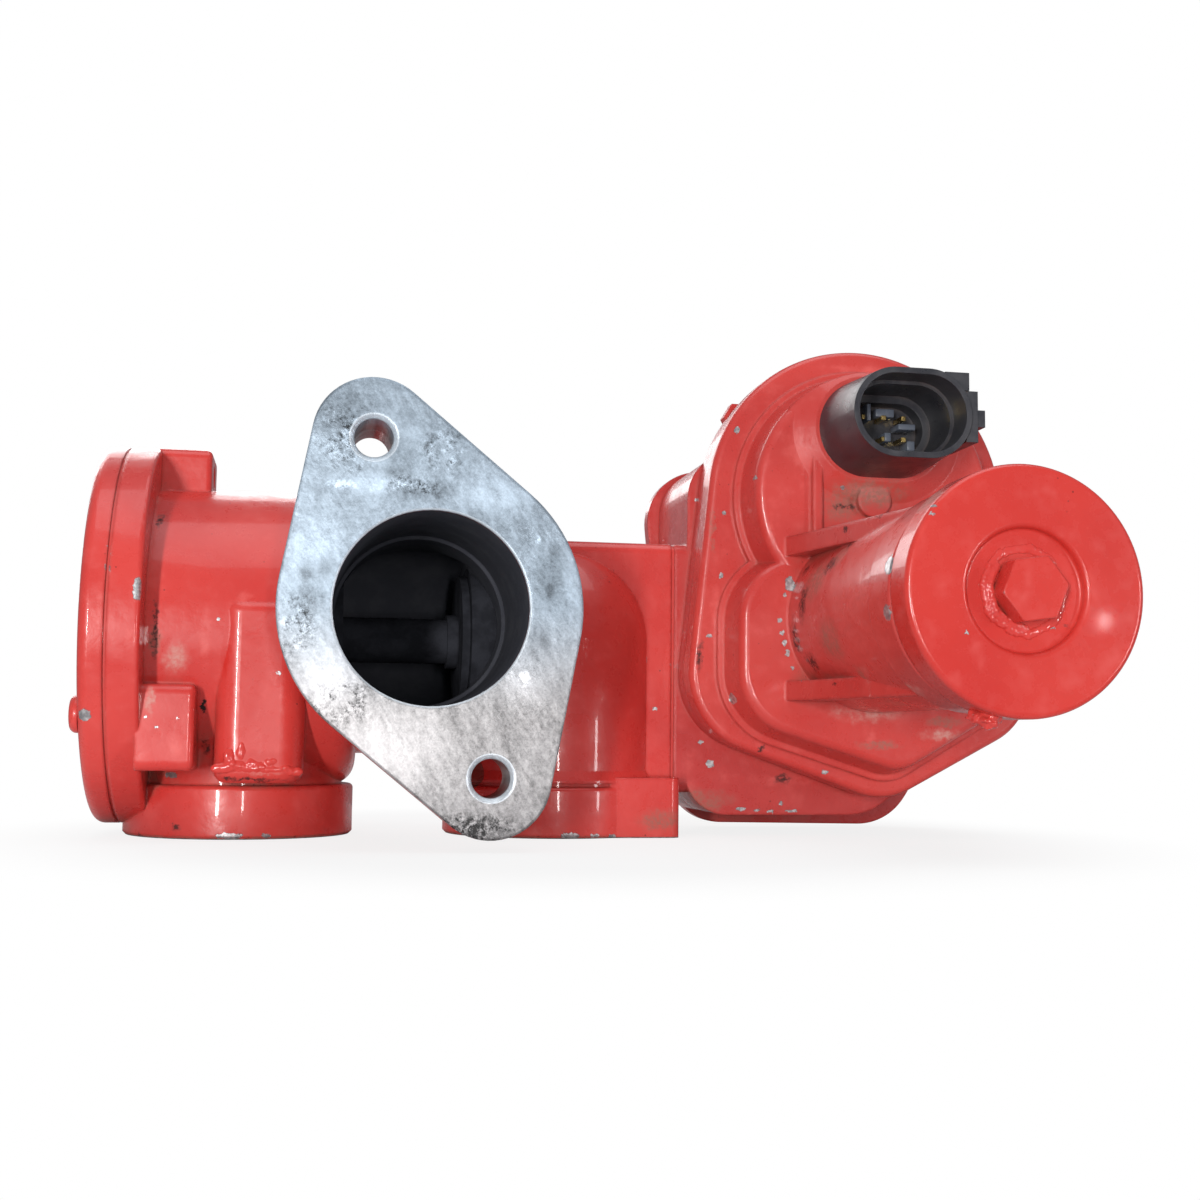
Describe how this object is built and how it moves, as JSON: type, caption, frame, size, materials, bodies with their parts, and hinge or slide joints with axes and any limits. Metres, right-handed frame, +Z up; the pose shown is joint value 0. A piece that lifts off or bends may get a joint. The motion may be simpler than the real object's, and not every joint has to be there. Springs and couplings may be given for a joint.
{
  "type": "egr valve",
  "caption": "Motor-driven exhaust gas recirculation valve with a round flanged inlet, two outlet feet, a gear case, a tubular motor and an oval connector.",
  "frame": {"origin": "centre of the inlet bore on the face of the inlet flange", "axes": "+X runs along the stem from the end cover to the gear case, +Y goes from the inlet face into the valve, +Z is up, away from the outlet feet"},
  "size_m": [0.2575, 0.1818, 0.1339],
  "materials": {
    "painted_iron": "glossy orange-red engine paint over a cast iron casting, chipped at the edges, dusty in the corners",
    "painted_aluminium": "the same orange-red engine paint over an aluminium casting, with bright chips",
    "painted_steel": "steel fasteners painted over with the castings",
    "stainless": "turned heat-resistant steel, darkened by exhaust",
    "steel": "plain machined or pressed steel, oiled",
    "spring_steel": "drawn spring wire",
    "bronze": "sintered bronze",
    "gasket_sheet": "dark fibre and graphite gasket sheet",
    "seal_rubber": "black seal rubber",
    "gear_plastic": "filled nylon, off-white",
    "magnet": "dark ferrite",
    "copper": "lacquered copper",
    "black_plastic": "black glass-filled nylon, satin",
    "carbon": "pressed carbon",
    "gold_contact": "gold-plated contacts",
    "board": "green circuit board with a black sensor"
  },
  "bodies": {
    "housing": {"valve_body": "painted_iron", "end_cover": "painted_iron", "end_cover_gasket": "gasket_sheet", "end_cover_screws": "painted_steel", "left_seat": "stainless", "right_seat": "stainless", "cover_guide_bush": "bronze", "body_guide_bush": "bronze", "stem_seal": "seal_rubber", "return_spring": "spring_steel", "spring_washer": "steel", "output_pin": "steel", "idler_pin": "steel", "gear_housing": "painted_aluminium", "housing_gasket": "gasket_sheet", "housing_screws": "steel", "rear_cover": "painted_aluminium", "rear_cover_gasket": "gasket_sheet", "long_screws": "painted_steel", "short_screws": "painted_steel", "cover_seal": "seal_rubber", "gear_cover": "painted_aluminium", "motor_can": "steel", "motor_magnets": "magnet", "cap_end_bearing": "steel", "gear_end_bearing": "steel", "brush_plate": "black_plastic", "brushes": "carbon", "motor_cap": "painted_aluminium", "cap_plug": "painted_steel", "cap_seal": "seal_rubber", "connector_shell": "black_plastic", "connector_terminals": "gold_contact", "connector_seal": "seal_rubber", "gear_clip": "steel", "sensor_board": "board"},
    "valve_stem": {"stem": "stainless", "left_poppet": "stainless", "right_poppet": "stainless", "poppet_spacer": "stainless", "poppet_collar": "stainless", "stem_nut": "stainless", "spring_retainer": "steel", "yoke": "steel", "drive_pin": "steel"},
    "cam_roller": {"cam_roller": "steel"},
    "output_gear": {"output_gear": "gear_plastic", "position_magnet": "magnet", "output_bush": "bronze"},
    "idler_gear": {"idler_gear": "gear_plastic"},
    "motor_rotor": {"motor_core": "steel", "motor_windings": "copper", "motor_commutator": "copper", "motor_shaft": "steel", "motor_pinion": "steel"}
  },
  "joints": [
    {"name": "stem_slide", "type": "slide", "parent": "housing", "child": "valve_stem", "axis": [1, 0, 0], "range_m": [-0.008, 0], "stiffness_N_per_m": 1500, "springref_m": 0.012, "deforming": ["return_spring"]},
    {"name": "motor_turn", "type": "hinge", "parent": "housing", "child": "motor_rotor", "pos_m": [0.12, 0, 0.0025], "axis": [0, 1, 0], "range_deg": [0, 1347.5]},
    {"name": "idler_turn", "type": "hinge", "parent": "housing", "child": "idler_gear", "pos_m": [0.12, 0.045, 0.037], "axis": [0, 1, 0], "range_deg": [-283.65, 0]},
    {"name": "output_gear_turn", "type": "hinge", "parent": "housing", "child": "output_gear", "pos_m": [0.12, 0.058, -0.003], "axis": [0, 1, 0], "range_deg": [0, 80.01]},
    {"name": "roller_spin", "type": "hinge", "parent": "valve_stem", "child": "cam_roller", "pos_m": [0.107, 0.062, -0.003], "axis": [0, 1, 0], "continuous": true}
  ],
  "couplings": [
    {"joint": "motor_turn", "follows": "stem_slide", "rad_per_m": -2939.3},
    {"joint": "idler_turn", "follows": "stem_slide", "rad_per_m": 618.8},
    {"joint": "output_gear_turn", "follows": "stem_slide", "rad_per_m": -174.53}
  ]
}
